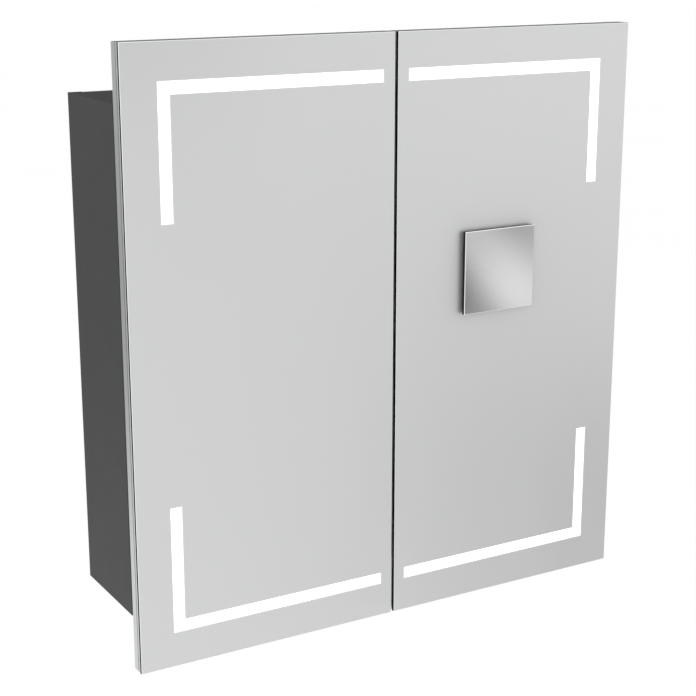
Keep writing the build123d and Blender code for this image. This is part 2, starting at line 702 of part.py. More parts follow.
def lead_bush():
    """Bush in the door's back panel for the lamp lead."""
    centre = (-LEAD_X, SOCKET_Z)
    front = DOOR_REAR - DOOR_BACK
    rear = DOOR_REAR + BUSH_FLANGE
    bush = rod("Y", (front, DOOR_REAR), centre, BUSH_RADIUS)
    bush += rod("Y", (DOOR_REAR, rear), centre, BUSH_FLANGE_RADIUS)
    return bush - rod("Y", (front, rear), centre, BUSH_BORE)


def buffers():
    """Soft buffers near the seam, just clear of the front edges of the top and bottom panels."""
    y = (DOOR_REAR, BODY_FRONT - BUFFER_CLEARANCE)
    z = HALF_BODY - PANEL / 2
    return [rod("Y", y, (-DOOR_INNER - BUFFER_INSET, level), BUFFER_RADIUS) for level in (z, -z)]


# ---- Small magnetic mirror ----
def vanity_square(size, span):
    """A square block centred on the small mirror."""
    half = size / 2
    x = (VANITY_CENTRE[0] - half, VANITY_CENTRE[0] + half)
    z = (VANITY_CENTRE[1] - half, VANITY_CENTRE[1] + half)
    return block(x, span, z)


def vanity_magnets(radius):
    """Four magnets on the back of the tray, of a given radius."""
    span = (VANITY_TRAY_REAR, GLASS_FRONT)
    return [rod("Y", span, (VANITY_CENTRE[0] + x, VANITY_CENTRE[1] + z), radius)
            for x in (-MAGNET_OFFSET, MAGNET_OFFSET) for z in (-MAGNET_OFFSET, MAGNET_OFFSET)]


def vanity_glass():
    """Small mirror glass with a bevelled front edge."""
    pane = vanity_square(VANITY_SIZE, (VANITY_GLASS_REAR - VANITY_GLASS, VANITY_GLASS_REAR))
    return chamfer(pane.faces().sort_by(Axis.Y)[0].edges(), VANITY_BEVEL)


def vanity_backing():
    """Black tray behind the small glass."""
    tray = vanity_square(VANITY_SIZE, (VANITY_GLASS_REAR, VANITY_TRAY_REAR))
    return chamfer(tray.faces().sort_by(Axis.Y)[-1].edges(), VANITY_TRAY_CHAMFER)


def vanity_pad():
    """Felt pad on the back of the tray, with a hole for each magnet."""
    pad = vanity_square(VANITY_PAD_SIZE, (VANITY_TRAY_REAR, GLASS_FRONT))
    return without(pad, vanity_magnets(MAGNET_RADIUS + HOLE_PLAY))


def main():
    """Write every node."""
    os.makedirs("parts", exist_ok=True)

    left_panel = side_panel()
    save("side_panel_left", left_panel)
    save("side_panel_right", mirror(left_panel, about=Plane.YZ))
    top = top_panel()
    save("top_panel", top)
    save("bottom_panel", upside_down(top))
    save("back_panel", back_panel())
    save("upper_rail", hanging_rail(RAIL_TOPS[0]))
    save("lower_rail", hanging_rail(RAIL_TOPS[1]))
    pins = cam_pin_rods(CAM_PIN_RADIUS)
    save("cam_pins", *pins, *[mirror(pin, about=Plane.YZ) for pin in pins])
    save("cam_locks", *cam_locks())
    save("shelf_upper", glass_shelf(SHELF_HEIGHTS[0]))
    save("shelf_lower", glass_shelf(SHELF_HEIGHTS[1]))
    save("shelf_pegs", *shelf_pegs())

    save("bay_front", bay_front())
    save("bay_floor", bay_floor())
    screw_tip = BAY_FRONT_Y + 2 * BAY_SHEET + BAY_SCREW_TIP
    save("bay_screws", *[screw("Y", BAY_FRONT_Y, screw_tip, (x, BAY_SCREW_Z)) for x in BAY_SCREW_X])
    save("mains_grommet", grommet((MAINS_X, MAINS_Z), -BACK_PANEL, 0))
    lead_points = [(x, SOCKET_Z) for x in (-LEAD_X, LEAD_X)]
    save("bay_grommets", *[grommet(point, BAY_FRONT_Y, BAY_FRONT_Y + BAY_SHEET) for point in lead_points])
    save("shaver_socket", shaver_socket())
    save("button_housing", button_housing())
    save("light_button", light_button())
    save("driver_case", driver_case())
    save("driver_lid", driver_lid())
    save("driver_board", driver_board())
    save("terminal_block", terminal_block())

    save_pair("hinge_arms", *[hinge_arm(level) for level in HINGE_LEVELS])
    save_pair("hinge_plates", *[hinge_plate(level) for level in HINGE_LEVELS])
    screws = hinge_screws()
    save("hinge_screws", *screws, *[mirror(piece, about=Plane.YZ) for piece in screws])

    stiles, rails = frame_bars()
    lens = window_lens()
    save_pair("glass", door_glass())
    save_pair("mounting_tape", *mounting_tape())
    save_pair("frame_stiles", stiles)
    save_pair("frame_rails", *rails)
    save_pair("door_back", door_back())
    save_pair("window_top", lens)
    save_pair("window_bottom", upside_down(lens))
    save_pair("led_boards", led_board(), upside_down(led_board()))
    save_pair("hinge_housings", *[hinge_housing(level) for level in HINGE_LEVELS])
    save_pair("hinge_pins", *[hinge_pin(level) for level in HINGE_LEVELS])
    save_pair("housing_screws", *housing_screws())
    save_pair("lead_bush", lead_bush())
    save_pair("buffers", *buffers())

    save("magnet_plate", vanity_square(MAGNET_PLATE_SIZE, (GLASS_REAR, GLASS_REAR + MAGNET_PLATE)))
    save("vanity_glass", vanity_glass())
    save("vanity_backing", vanity_backing())
    save("vanity_magnets", *vanity_magnets(MAGNET_RADIUS))
    save("vanity_pad", vanity_pad())


if __name__ == "__main__":
    main()
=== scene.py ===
"""Illuminated two-door mirror cabinet: its surfaces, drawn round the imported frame.

Lengths are in metres. +X is right, +Y is towards the wall and +Z is up.
"""

import logging
import math
from collections.abc import Callable, Iterable, Mapping, Sequence
from dataclasses import dataclass
from enum import Enum

import bmesh
import bpy
from mathutils import Matrix, Vector

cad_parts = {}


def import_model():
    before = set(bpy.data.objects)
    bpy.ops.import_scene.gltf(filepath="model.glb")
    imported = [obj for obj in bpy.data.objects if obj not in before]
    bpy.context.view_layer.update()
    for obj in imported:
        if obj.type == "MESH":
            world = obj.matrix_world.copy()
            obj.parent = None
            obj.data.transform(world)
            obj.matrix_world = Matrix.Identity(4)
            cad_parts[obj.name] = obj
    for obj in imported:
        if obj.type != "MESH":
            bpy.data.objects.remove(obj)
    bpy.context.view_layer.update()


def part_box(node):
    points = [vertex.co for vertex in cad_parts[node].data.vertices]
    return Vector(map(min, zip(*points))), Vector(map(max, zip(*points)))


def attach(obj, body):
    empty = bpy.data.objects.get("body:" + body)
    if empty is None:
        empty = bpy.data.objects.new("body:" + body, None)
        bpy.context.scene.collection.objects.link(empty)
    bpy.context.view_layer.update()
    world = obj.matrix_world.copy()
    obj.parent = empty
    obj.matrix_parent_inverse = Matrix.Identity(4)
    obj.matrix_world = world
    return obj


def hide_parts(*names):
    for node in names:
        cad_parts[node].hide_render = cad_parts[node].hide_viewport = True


LOG = logging.getLogger("cabinet")
GLASS_CREASE = 12.0
SAME_PLACE = 1e-6
WELD = 1e-7

Colour = tuple[float, float, float]
Span = tuple[float, float]
Box = tuple[Vector, Vector]


class Side(Enum):
    """Which of the two doors."""

    LEFT = "left"
    RIGHT = "right"

    @property
    def outward(self) -> int:
        """Sign of the X direction from the seam to this door's outer edge."""
        return -1 if self is Side.LEFT else 1


class Level(Enum):
    """Upper or lower of two alike, with its sign along Z."""

    TOP = 1
    BOTTOM = -1


class Grain(Enum):
    """Stretch of a brushed pattern along each axis; the long way has the small number."""

    UPRIGHT = (1.0, 1.0, 0.012)
    LEVEL = (0.012, 1.0, 1.0)


# ---- Material maths ----
@dataclass(frozen=True)
class Signal:
    """One value in a material's nodes, with its arithmetic written as operators."""

    graph: "Graph"
    socket: bpy.types.NodeSocket

    def __add__(self, other: "Value") -> "Signal":
        """Sum."""
        return self.graph.maths("ADD", self, other)

    def __sub__(self, other: "Value") -> "Signal":
        """Difference."""
        return self.graph.maths("SUBTRACT", self, other)

    def __rsub__(self, other: "Value") -> "Signal":
        """Difference, from a number."""
        return self.graph.maths("SUBTRACT", other, self)

    def __mul__(self, other: "Value") -> "Signal":
        """Product."""
        return self.graph.maths("MULTIPLY", self, other)

    def __truediv__(self, other: "Value") -> "Signal":
        """Quotient."""
        return self.graph.maths("DIVIDE", self, other)

    def __abs__(self) -> "Signal":
        """Distance from zero."""
        return self.graph.maths("ABSOLUTE", self)

    def __gt__(self, other: "Value") -> "Signal":
        """One where this is the greater, else zero."""
        return self.graph.maths("GREATER_THAN", self, other)

    __radd__ = __add__
    __rmul__ = __mul__

    def ramp(self, low: float, high: float) -> "Signal":
        """Smooth step from zero at low to one at high."""
        settings = {"interpolation_type": "SMOOTHSTEP"}
        inputs = {"Value": self, "From Min": low, "From Max": high}
        return self.graph.signal("ShaderNodeMapRange", settings, inputs)


Value = Signal | float
Input = Signal | float | tuple


class Graph:
    """The nodes of one material."""

    def __init__(self, name: str) -> None:
        """Start an empty material."""
        self.material = bpy.data.materials.new(name)
        self.material.use_nodes = True
        self.tree = self.material.node_tree
        self.tree.nodes.clear()

    def node(self, kind: str, settings: Mapping[str, object] | None = None,
             inputs: Mapping[str | int, Input] | None = None) -> bpy.types.Node:
        """Add a node.

        Args:
            kind: The node's Blender type.
            settings: Properties, set before any socket.
            inputs: Values or links for its sockets, by name or number.

        Returns:
            The node.
        """
        node = self.tree.nodes.new(kind)
        for key, value in (settings or {}).items():
            setattr(node, key, value)
        for key, value in (inputs or {}).items():
            socket = node.inputs[key]
            if isinstance(value, Signal):
                self.tree.links.new(value.socket, socket)
            else:
                socket.default_value = value
        return node

    def signal(self, kind: str, settings: Mapping[str, object] | None = None,
               inputs: Mapping[str | int, Input] | None = None, output: int | str = 0) -> Signal:
        """Add a node as node() does, and give one of its outputs."""
        return Signal(self, self.node(kind, settings, inputs).outputs[output])

    def maths(self, operation: str, *values: Value) -> Signal:
        """Add a Math node."""
        return self.signal("ShaderNodeMath", {"operation": operation}, dict(enumerate(values)))

    def place(self) -> Signal:
        """Position in the cabinet's frame, in metres."""
        return self.signal("ShaderNodeTexCoord", output="Object")

    def axis(self, name: str) -> Signal:
        """One coordinate of the position: X, Y or Z."""
        return self.signal("ShaderNodeSeparateXYZ", inputs={0: self.place()}, output=name)

    def noise(self, size: float, detail: float = 2.0, stretch: Sequence[float] = (1.0, 1.0, 1.0)) -> Signal:
        """Cloudy pattern.

        Args:
            size: Width of one cloud, in metres.
            detail: Number of finer layers.
            stretch: Scale along each axis; a small number draws the pattern out that way.

        Returns:
            The pattern, from 0 to 1 and near 0.5 on the whole.
        """
        mapped = self.signal("ShaderNodeMapping", inputs={"Vector": self.place(), "Scale": tuple(stretch)})
        inputs = {"Vector": mapped, "Scale": 1.0 / size, "Detail": detail}
        return self.signal("ShaderNodeTexNoise", inputs=inputs)

    def mix(self, share: Value, first: Input, second: Input) -> Signal:
        """Colour between first, at a share of 0, and second, at 1."""
        settings = {"data_type": "RGBA", "clamp_factor": True}
        colours = [value if isinstance(value, Signal) else (*value, 1.0) for value in (first, second)]
        return self.signal("ShaderNodeMix", settings, {0: share, 6: colours[0], 7: colours[1]}, output=2)

    def shade(self, colour: Signal | Colour, strength: Signal) -> Signal:
        """The colour made lighter or darker by a factor."""
        return self.signal("ShaderNodeVectorMath", {"operation": "SCALE"}, {0: colour, "Scale": strength})

    def bump(self, height: Signal, depth: float, strength: float = 1.0) -> Signal:
        """Normal of a surface whose relief is height times depth, in metres."""
        inputs = {"Height": height, "Distance": depth, "Strength": strength}
        return self.signal("ShaderNodeBump", inputs=inputs)

    def surface(self, inputs: Mapping[str, Input]) -> Signal:
        """Add the shader that most finishes use."""
        full = {key: (*value, 1.0) if isinstance(value, tuple) and "Color" in key else value
                for key, value in inputs.items()}
        return self.signal("ShaderNodeBsdfPrincipled", inputs=full)

    def finish(self, shader: Signal) -> bpy.types.Material:
        """Join the shader to the output and give the material."""
        self.node("ShaderNodeOutputMaterial", inputs={"Surface": shader})
        return self.material


# ---- Finishes ----
@dataclass(frozen=True)
class Finish:
    """A named surface. Each kind says in shader() how it looks."""

    name: str

    def shader(self, graph: Graph) -> Signal:
        """Build the surface's nodes and give the shader."""
        raise NotImplementedError

    def material(self) -> bpy.types.Material:
        """The finish's material, made the first time that it is asked for."""
        name = f"finish_{self.name}"
        found = bpy.data.materials.get(name)
        if found:
            return found
        graph = Graph(name)
        return graph.finish(self.shader(graph))


@dataclass(frozen=True)
class SilveredMirror(Finish):
    """Silvered glass: the soft haze of the silver under the clear gloss of the glass."""

    tint: Colour
    haze: float
    silver: float = 1.0
    gloss: float = 0.0

    def shader(self, graph: Graph) -> Signal:
        """Metal with long wiping marks in its roughness, and a clear coat."""
        wiping = graph.noise(0.09, 4.0, (1.0, 1.0, 0.3))
        specks = graph.noise(0.0016, 1.0).ramp(0.70, 0.82)
        return graph.surface({
            "Base Color": graph.shade(self.tint, 0.985 + 0.03 * wiping - 0.03 * specks),
            "Metallic": self.silver,
            "Roughness": self.haze * (0.9 + 0.2 * wiping) + 0.03 * specks,
            "Coat Weight": self.gloss,
            "Coat Roughness": 0.02,
            "Normal": graph.bump(graph.noise(0.35, 1.0), 0.0001),
        })


@dataclass(frozen=True)
class GlassEdge(Finish):
    """Edge of a pane seen from its side: dark green glass, with a painted reflection that makes it a little
    lighter near the back.
    """

    front: float
    depth: float
    deep: Colour = (0.004, 0.007, 0.0065)
    # colour of the painted reflection towards the back of the edge
    light: Colour = (0.05, 0.075, 0.07)

    def shader(self, graph: Graph) -> Signal:
        """Bands over the pane's thickness, broken a little along its length; the lighter band at the back is
        a painted reflection.
        """
        across = (graph.axis("Y") - self.front) / self.depth
        flow = graph.noise(0.004, 2.0, (0.1, 1.0, 0.1))
        # painted reflection: the back of the edge is mixed half way towards the lighter green
        rear = (across + 0.10 * flow).ramp(0.88, 1.10)
        grind = graph.noise(0.0003, 2.0, (0.25, 1.0, 0.25))
        return graph.surface({
            "Base Color": graph.mix(0.5 * rear, self.deep, self.light),
            "Roughness": 0.26 + 0.12 * grind,
            "Specular IOR Level": 0.0,
            "Normal": graph.bump(grind, 0.00002),
        })


@dataclass(frozen=True)
class GroundArris(Finish):
    """Bevel ground and polished along the edge of a mirror."""

    colour: Colour = (0.93, 0.96, 0.95)

    def shader(self, graph: Graph) -> Signal:
        """Bright, with the wheel's fine marks along it."""
        marks = graph.noise(0.0006, 3.0)
        return graph.surface({
            "Base Color": graph.shade(self.colour, 0.92 + 0.12 * marks),
            "Metallic": 0.85,
            "Roughness": 0.16 + 0.14 * marks,
            "Normal": graph.bump(marks, 0.00001),
        })


@dataclass(frozen=True)
class RearPaint(Finish):
    """Protective paint on the back of a mirror."""

    colour: Colour = (0.17, 0.18, 0.185)

    def shader(self, graph: Graph) -> Signal:
        """Flat paint with roller mottle."""
        mottle = graph.noise(0.003, 3.0)
        return graph.surface({
            "Base Color": graph.shade(self.colour, 0.85 + 0.3 * mottle),
            "Roughness": 0.45 + 0.2 * mottle,
            "Normal": graph.bump(mottle, 0.00004),
        })


@dataclass(frozen=True)
class BrushedMetal(Finish):
    """Drawn or brushed metal, anodised or plated."""

    colour: Colour
    grain: Grain = Grain.UPRIGHT
    roughness: float = 0.34
    line: float = 0.0011

    def shader(self, graph: Graph) -> Signal:
        """Metal with fine lines along its grain and a slow change of tone."""
        lines = graph.noise(self.line, 4.0, self.grain.value)
        cloud = graph.noise(0.06, 2.0)
        return graph.surface({
            "Base Color": graph.shade(self.colour, 0.90 + 0.12 * lines + 0.08 * cloud),
            "Metallic": 1.0,
            "Roughness": self.roughness * (0.75 + 0.35 * lines + 0.15 * cloud),
            "Normal": graph.bump(lines, 0.000012),
        })


@dataclass(frozen=True)
class PlatedSteel(Finish):
    """Bright zinc or nickel plating on pressed or turned steel."""

    colour: Colour = (0.62, 0.63, 0.64)
    roughness: float = 0.22

    def shader(self, graph: Graph) -> Signal:
        """Metal with the soft crystals of plating and a few handling scratches."""
        crystals = graph.signal("ShaderNodeTexVoronoi", {"feature": "F1"},
                                {"Vector": graph.place(), "Scale": 900.0}, output="Distance")
        cloud = graph.noise(0.012, 3.0)
        scratch = graph.noise(0.0025, 2.0, (0.05, 1.0, 1.0)).ramp(0.66, 0.72)
        return graph.surface({
            "Base Color": graph.shade(self.colour, 0.86 + 0.12 * crystals + 0.16 * cloud),
            "Metallic": 1.0,
            "Roughness": self.roughness * (0.8 + 0.4 * cloud) + 0.08 * scratch,
            "Normal": graph.bump(crystals, 0.000008),
        })


@dataclass(frozen=True)
class SatinFoil(Finish):
    """Fine-textured foil on board, with a joint line where each edge band meets it."""

    colour: Colour
    bands: Span | None = None
    joint: float = 0.00025
    grain: float = 0.0007

    def shader(self, graph: Graph) -> Signal:
        """Dark matt skin with a pebble grain, a soft mottle and hairline joints."""
        pebble = graph.noise(self.grain, 3.0)
        mottle = graph.noise(0.035, 4.0)
        flecks = graph.noise(0.0022, 2.0).ramp(0.63, 0.75)
        tone = 0.90 + 0.10 * pebble + 0.10 * mottle + 0.16 * flecks
        relief = pebble
        if self.bands:
            depth = graph.axis("Y")
            for band in self.bands:
                line = 1.0 - abs(depth - band).ramp(0.0, self.joint)
                tone = tone - 0.35 * line
                relief = relief - 2.0 * line
        return graph.surface({
            "Base Color": graph.shade(self.colour, tone),
            "Roughness": 0.50 + 0.16 * pebble - 0.06 * mottle,
            "Specular IOR Level": 0.22,
            "Normal": graph.bump(relief, 0.00003, 0.7),
        })


@dataclass(frozen=True)
class LitOpal(Finish):
    """Opal lens lit from behind."""

    colour: Colour = (1.0, 1.0, 0.965)
    strength: float = 0.85

    def shader(self, graph: Graph) -> Signal:
        """Even glow, a little uneven between the lamps behind it."""
        glow = graph.noise(0.024, 1.0)
        grain = graph.noise(0.0004, 2.0)
        return graph.surface({
            "Base Color": graph.shade((0.78, 0.78, 0.75), 0.97 + 0.04 * grain),
            "Roughness": 0.30 + 0.12 * grain,
            "Emission Color": graph.shade(self.colour, 0.97 + 0.05 * glow),
            "Emission Strength": self.strength,
            "Normal": graph.bump(grain, 0.00001),
        })


@dataclass(frozen=True)
class MouldedPlastic(Finish):
    """Moulded plastic, from gloss to matt."""

    colour: Colour
    roughness: float = 0.3
    grain: float = 0.0006
    relief: float = 0.00002
    gloss: float = 0.5

    def shader(self, graph: Graph) -> Signal:
        """Skin with spark-eroded grain and faint flow marks."""
        grain = graph.noise(self.grain, 3.0)
        flow = graph.noise(0.02, 2.0, (1.0, 0.4, 1.0))
        return graph.surface({
            "Base Color": graph.shade(self.colour, 0.93 + 0.07 * grain + 0.07 * flow),
            "Roughness": self.roughness * (0.8 + 0.3 * grain + 0.15 * flow),
            "Specular IOR Level": self.gloss,
            "Normal": graph.bump(grain, self.relief),
        })


@dataclass(frozen=True)
class Rubber(Finish):
    """Soft rubber, silicone or foam with an open or closed skin."""

    colour: Colour
    pore: float = 0.0005
    depth: float = 0.00006

    def shader(self, graph: Graph) -> Signal:
        """Matt, with pores."""
        pores = graph.signal("ShaderNodeTexVoronoi", {"feature": "F1"},
                             {"Vector": graph.place(), "Scale": 1.0 / self.pore}, output="Distance")
        dust = graph.noise(0.008, 4.0)
        return graph.surface({
            "Base Color": graph.shade(self.colour, 0.75 + 0.35 * pores + 0.2 * dust),
            "Roughness": 0.72 + 0.2 * dust,
            "Normal": graph.bump(pores, self.depth),
        })


@dataclass(frozen=True)
class Felt(Finish):
    """Thin pressed felt."""

    colour: Colour = (0.03, 0.031, 0.033)

    def shader(self, graph: Graph) -> Signal:
        """Dull fibres lying every way."""
        fibres = graph.noise(0.0005, 5.0, (1.0, 1.0, 0.3)) + graph.noise(0.0005, 5.0, (0.3, 1.0, 1.0))
        return graph.surface({
            "Base Color": graph.shade(self.colour, 0.5 + 0.7 * fibres),
            "Roughness": 0.95,
            "Sheen Weight": 0.4,
            "Normal": graph.bump(fibres, 0.00015),
        })


@dataclass(frozen=True)
class ClearGlass(Finish):
    """Clear float glass: its faces, or the greener polished edges."""

    colour: Colour
    clarity: float
    roughness: float = 0.01

    def shader(self, graph: Graph) -> Signal:
        """Glass with a trace of dust and drying marks."""
        marks = graph.noise(0.03, 4.0).ramp(0.45, 0.8)
        return graph.surface({
            "Base Color": graph.shade(self.colour, 1.0 - 0.04 * marks),
            "Roughness": self.roughness + 0.05 * marks,
            "IOR": 1.52,
            "Transmission Weight": self.clarity,
        })


@dataclass(frozen=True)
class CircuitBoard(Finish):
    """Lacquered board with copper tracks, and parts of another colour that stand on its face.

    The face is at a level on an axis, and the parts stand on it towards the sign way.
    """

    board: Colour
    parts: Colour
    along: str
    level: float
    way: int
    track: float = 0.0022
    skin: float = 0.00005

    def shader(self, graph: Graph) -> Signal:
        """Board colour with a track pattern, and the parts' own colour beyond the face."""
        tracks = graph.signal("ShaderNodeTexVoronoi", {"feature": "DISTANCE_TO_EDGE"},
                              {"Vector": graph.place(), "Scale": 1.0 / self.track}, output="Distance")
        copper = 1.0 - tracks.ramp(0.02, 0.06)
        lacquer = graph.mix(0.5 * copper, self.board, tuple(min(1.0, 1.8 * part) for part in self.board))
        beyond = (graph.axis(self.along) - self.level) * self.way > self.skin
        return graph.surface({
            "Base Color": graph.mix(beyond, lacquer, self.parts),
            "Roughness": 0.32 + 0.15 * graph.noise(0.002, 2.0),
            "Normal": graph.bump(copper, 0.00003),
        })


@dataclass(frozen=True)
class StudioPaint(Finish):
    """Pale matt paint of the studio floor."""

    colour: Colour = (0.86, 0.86, 0.86)

    def shader(self, graph: Graph) -> Signal:
        """Even paint with a slow change of tone."""
        return graph.surface({
            "Base Color": graph.shade(self.colour, 0.985 + 0.03 * graph.noise(0.8, 3.0)),
            "Roughness": 0.85,
        })


# ---- Meshes ----
class Shape:
    """A mesh in the making, drawn straight in the cabinet's frame."""

    def __init__(self) -> None:
        """Start with nothing."""
        self.mesh = bmesh.new()

    def block(self, low: Sequence[float], high: Sequence[float]) -> "Shape":
        """Add a box between two corners."""
        low, high = Vector(low), Vector(high)
        size = high - low
        place = Matrix.Translation((low + high) / 2) @ Matrix.Diagonal((*size, 1.0))
        bmesh.ops.create_cube(self.mesh, size=1.0, matrix=place)
        return self

    def sheet(self, low: Vector, high: Vector) -> "Shape":
        """Add one flat face across the front of a box."""
        turn = Matrix.Rotation(math.radians(90.0), 4, "X")
        size = Matrix.Diagonal(((high.x - low.x) / 2, 1.0, (high.z - low.z) / 2, 1.0))
        place = Matrix.Translation(((low.x + high.x) / 2, low.y, (low.z + high.z) / 2)) @ size @ turn
        bmesh.ops.create_grid(self.mesh, x_segments=1, y_segments=1, size=1.0, matrix=place)
        return self

    def slice(self, axis: int, places: Iterable[float]) -> "Shape":
        """Cut every face where it crosses a place on an axis."""
        normal = Vector((0.0, 0.0, 0.0))
        normal[axis] = 1.0
        for place in places:
            everything = self.mesh.verts[:] + self.mesh.edges[:] + self.mesh.faces[:]
            bmesh.ops.bisect_plane(self.mesh, geom=everything, dist=WELD, plane_co=normal * place,
                                   plane_no=normal)
        return self

    def drop(self, rule: Callable[[Vector], bool]) -> "Shape":
        """Delete each face whose middle the rule picks."""
        picked = [face for face in self.mesh.faces if rule(face.calc_center_median())]
        bmesh.ops.delete(self.mesh, geom=picked, context="FACES")
        return self

    def thicken(self, depth: float) -> "Shape":
        """Pull the flat faces back along +Y into a closed slab."""
        pulled = bmesh.ops.extrude_face_region(self.mesh, geom=self.mesh.faces[:], use_keep_orig=True)
        moved = [item for item in pulled["geom"] if isinstance(item, bmesh.types.BMVert)]
        bmesh.ops.translate(self.mesh, verts=moved, vec=(0.0, depth, 0.0))
        bmesh.ops.recalc_face_normals(self.mesh, faces=self.mesh.faces[:])
        return self

    def lathe(self, profile: Sequence[Span], steps: int = 40) -> "Shape":
        """Spin a profile of (radius, height) about Z; it starts and ends on the axis or closes up."""
        points = [self.mesh.verts.new((radius, 0.0, height)) for radius, height in profile]
        edges = [self.mesh.edges.new(pair) for pair in zip(points, points[1:])]
        bmesh.ops.spin(self.mesh, geom=points + edges, cent=(0.0, 0.0, 0.0), axis=(0.0, 0.0, 1.0),
                       angle=math.tau, steps=steps, use_merge=True, dvec=(0.0, 0.0, 0.0))
        bmesh.ops.remove_doubles(self.mesh, verts=self.mesh.verts[:], dist=WELD)
        bmesh.ops.recalc_face_normals(self.mesh, faces=self.mesh.faces[:])
        return self

    def bevel(self, width: float, rule: Callable[[bmesh.types.BMEdge], bool], segments: int = 2) -> "Shape":
        """Round the edges that the rule picks."""
        picked = [edge for edge in self.mesh.edges if rule(edge)]
        bmesh.ops.bevel(self.mesh, geom=picked, offset=width, offset_type="OFFSET", segments=segments,
                        profile=0.5, affect="EDGES", material=-1, clamp_overlap=True)
        return self

    def turn(self, place: Matrix) -> "Shape":
        """Move the whole shape."""
        bmesh.ops.transform(self.mesh, matrix=place, verts=self.mesh.verts[:])
        return self

    def join(self, other: "Shape") -> "Shape":
        """Take in another shape as it stands."""
        spare = bpy.data.meshes.new("spare")
        other.mesh.to_mesh(spare)
        self.mesh.from_mesh(spare)
        bpy.data.meshes.remove(spare)
        return self

    def carve(self, tool: "Shape") -> "Shape":
        """Cut a closed tool shape out of this one."""
        pair = []
        for shape in (self, tool):
            mesh = bpy.data.meshes.new("spare")
            shape.mesh.to_mesh(mesh)
            thing = bpy.data.objects.new("spare", mesh)
            bpy.context.scene.collection.objects.link(thing)
            pair.append(thing)
        cut = pair[0].modifiers.new("cut", "BOOLEAN")
        cut.operation = "DIFFERENCE"
        cut.solver = "EXACT"
        cut.object = pair[1]
        done = bpy.data.meshes.new_from_object(pair[0].evaluated_get(bpy.context.evaluated_depsgraph_get()))
        self.mesh.clear()
        self.mesh.from_mesh(done)
        for thing in pair:
            spare = thing.data
            bpy.data.objects.remove(thing)
            bpy.data.meshes.remove(spare)
        bpy.data.meshes.remove(done)
        return self

    def paint(self, rule: Callable[[bmesh.types.BMFace], int]) -> "Shape":
        """Give each face the number of its finish."""
        for face in self.mesh.faces:
            face.normal_update()
            face.material_index = rule(face)
        return self

    def piece(self, name: str, finishes: Sequence[Finish], crease: float = 28.0) -> bpy.types.Object:
        """Turn the shape into a scene object.

        Args:
            name: The object's name.
            finishes: Its finishes, in the order that paint() numbers them.
            crease: Angle in degrees past which an edge stays sharp.

        Returns:
            The object, at the origin, with its place in its mesh.
        """
        limit = math.radians(crease)
        for face in self.mesh.faces:
            face.smooth = True
        for edge in self.mesh.edges:
            edge.smooth = len(edge.link_faces) == 2 and edge.calc_face_angle(math.pi) < limit
        mesh = bpy.data.meshes.new(name)
        self.mesh.to_mesh(mesh)
        self.mesh.free()
        for finish in finishes:
            mesh.materials.append(finish.material())
        thing = bpy.data.objects.new(name, mesh)
        bpy.context.scene.collection.objects.link(thing)
        return thing


def corner_edge(edge: bmesh.types.BMEdge) -> bool:
    """Whether two faces meet at this edge at more than a slight angle."""
    return len(edge.link_faces) == 2 and edge.calc_face_angle(0.0) > math.radians(25.0)


def at_depth(edge: bmesh.types.BMEdge, depth: float) -> bool:
    """Whether the whole edge lies at one depth."""
    return all(abs(vert.co.y - depth) < SAME_PLACE for vert in edge.verts)


def facing(normal: Vector, axis: int, sign: int, least: float = 0.98) -> bool:
    """Whether a normal points along an axis, the way that sign says."""
    return normal[axis] * sign > least


def settle(piece: bpy.types.Object, body: str, slot: str, *replaced: str) -> bpy.types.Object:
    """Put a new piece on its body.

    Args:
        piece: The new piece.
        body: The body that it moves with.
        slot: The material slot that it belongs to; not used.
        replaced: Nodes that it stands for.

    Returns:
        The same piece.
    """
    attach(piece, body)
    if replaced:
        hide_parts(*replaced)
    LOG.info("%s: %d faces on %s", piece.name, len(piece.data.polygons), body)
    return piece


def loose_parts(node: bpy.types.Object) -> list[Box]:
    """Lowest and highest corner of each separate solid in a node."""
    copy = bmesh.new()
    copy.from_mesh(node.data)
    bmesh.ops.remove_doubles(copy, verts=copy.verts[:], dist=SAME_PLACE)
    boxes = []
    waiting = set(copy.verts)
    while waiting:
        island = {waiting.pop()}
        front = list(island)
        while front:
            vert = front.pop()
            near = {edge.other_vert(vert) for edge in vert.link_edges} & waiting
            waiting -= near
            island |= near
            front += near
        low, high = (Vector([pick(vert.co[axis] for vert in island) for axis in range(3)])
                     for pick in (min, max))
        boxes.append((low, high))
    copy.free()
    return boxes


# ---- Sub-assemblies ----
@dataclass(frozen=True)
class Elbow:
    """Outline of an L-shaped light window, whose arms meet near the door's outer corner.

    Each pair holds a place along X and one along Z.
    """

    corner: Span
    reach: Span
    width: float

    def signs(self) -> Span:
        """Directions from the far ends to the corner."""
        return tuple(math.copysign(1.0, here - there) for here, there in zip(self.corner, self.reach))

    def grown(self, margin: float) -> "Elbow":
        """The same outline, larger by a margin on every side."""
        corner = tuple(place + sign * margin for place, sign in zip(self.corner, self.signs()))
        reach = tuple(place - sign * margin for place, sign in zip(self.reach, self.signs()))
        return Elbow(corner, reach, self.width + 2 * margin)

    def lines(self, pick: int) -> tuple[float, float, float]:
        """Outer side, inner side and far end, along X for 0 and Z for 1."""
        return self.corner[pick], self.corner[pick] - self.signs()[pick] * self.width, self.reach[pick]

    def holds(self, point: Vector) -> bool:
        """Whether a point lies in one of the arms."""
        places = (point.x, point.z)
        inside = all(min(ends) < place < max(ends) for *ends, place in zip(self.corner, self.reach, places))
        return inside and any(abs(place - side) < self.width for place, side in zip(places, self.corner))

    def slab(self, front: float, rear: float) -> Shape:
        """A solid of this outline between two depths."""
        low = Vector((min(self.corner[0], self.reach[0]), front, min(self.corner[1], self.reach[1])))
        high = Vector((max(self.corner[0], self.reach[0]), front, max(self.corner[1], self.reach[1])))
        shape = Shape().sheet(low, high).slice(0, self.lines(0)[1:2]).slice(2, self.lines(1)[1:2])
        return shape.drop(lambda middle: not self.holds(middle)).thicken(rear - front)


